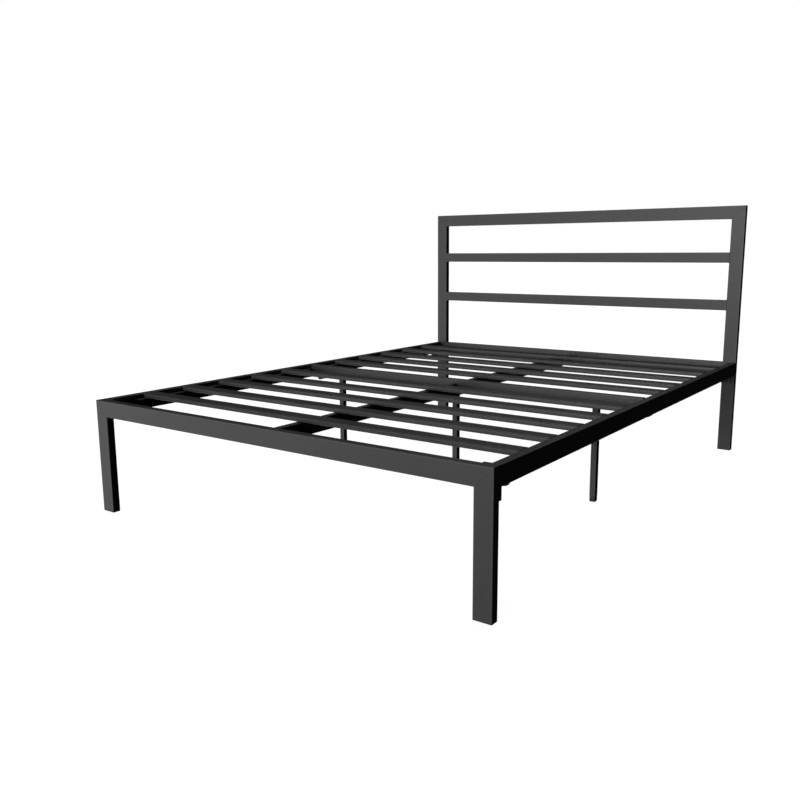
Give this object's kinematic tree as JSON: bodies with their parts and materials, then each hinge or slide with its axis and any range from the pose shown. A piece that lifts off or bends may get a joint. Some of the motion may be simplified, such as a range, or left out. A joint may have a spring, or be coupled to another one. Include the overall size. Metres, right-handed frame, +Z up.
{
  "type": "metal bed frame",
  "caption": "Steel platform bed frame with rectangular tube legs, slatted deck, split side rails and an open rail headboard.",
  "frame": {"origin": "on the floor below the middle of the frame's outline", "axes": "+Z up, +Y from the foot to the headboard, +X to the right for someone standing at the foot"},
  "size_m": [1.41, 1.938, 0.962],
  "materials": {
    "frame_steel": "black powder coat, fine satin texture",
    "bolt_steel": "black zinc plate, satin",
    "foot_plastic": "moulded black plastic, matte"
  },
  "bodies": {
    "frame": {"foot_leg_left": "frame_steel", "foot_leg_right": "frame_steel", "foot_rail": "frame_steel", "head_post_left": "frame_steel", "head_post_right": "frame_steel", "headboard_top_rail": "frame_steel", "headboard_middle_rail": "frame_steel", "headboard_lower_rail": "frame_steel", "head_cross_rail": "frame_steel", "corner_bracket_foot_left": "frame_steel", "side_rail_foot_left": "frame_steel", "corner_bracket_head_left": "frame_steel", "side_rail_head_left": "frame_steel", "rail_joint_sleeve_left": "frame_steel", "rail_joint_plate_left": "frame_steel", "cross_beam_hanger_left": "frame_steel", "corner_bracket_foot_right": "frame_steel", "side_rail_foot_right": "frame_steel", "corner_bracket_head_right": "frame_steel", "side_rail_head_right": "frame_steel", "rail_joint_sleeve_right": "frame_steel", "rail_joint_plate_right": "frame_steel", "cross_beam_hanger_right": "frame_steel", "mid_cross_beam": "frame_steel", "centre_rail_foot": "frame_steel", "centre_rail_hanger_foot": "frame_steel", "centre_rail_head": "frame_steel", "centre_rail_hanger_head": "frame_steel", "slat_01": "frame_steel", "slat_02": "frame_steel", "slat_03": "frame_steel", "slat_04": "frame_steel", "slat_05": "frame_steel", "slat_06": "frame_steel", "slat_07": "frame_steel", "slat_08": "frame_steel", "slat_09": "frame_steel", "slat_10": "frame_steel", "support_leg_left": "frame_steel", "support_leg_centre": "frame_steel", "support_leg_right": "frame_steel", "corner_bolt_foot_left_outer": "bolt_steel", "corner_bolt_foot_left_inner": "bolt_steel", "rail_joint_bolt_foot_left": "bolt_steel", "corner_bolt_head_left_outer": "bolt_steel", "corner_bolt_head_left_inner": "bolt_steel", "rail_joint_bolt_head_left": "bolt_steel", "corner_bolt_foot_right_outer": "bolt_steel", "corner_bolt_foot_right_inner": "bolt_steel", "rail_joint_bolt_foot_right": "bolt_steel", "corner_bolt_head_right_outer": "bolt_steel", "corner_bolt_head_right_inner": "bolt_steel", "rail_joint_bolt_head_right": "bolt_steel", "floor_plug_foot_left": "foot_plastic", "floor_plug_head_left": "foot_plastic", "floor_plug_foot_right": "foot_plastic", "floor_plug_head_right": "foot_plastic"},
    "foot_left": {"levelling_foot_left": "foot_plastic"},
    "foot_centre": {"levelling_foot_centre": "foot_plastic"},
    "foot_right": {"levelling_foot_right": "foot_plastic"}
  },
  "joints": [
    {"name": "level_left", "type": "slide", "parent": "frame", "child": "foot_left", "axis": [0, 0, -1], "range_m": [0, 0.015]},
    {"name": "level_centre", "type": "slide", "parent": "frame", "child": "foot_centre", "axis": [0, 0, -1], "range_m": [0, 0.015]},
    {"name": "level_right", "type": "slide", "parent": "frame", "child": "foot_right", "axis": [0, 0, -1], "range_m": [0, 0.015]}
  ]
}
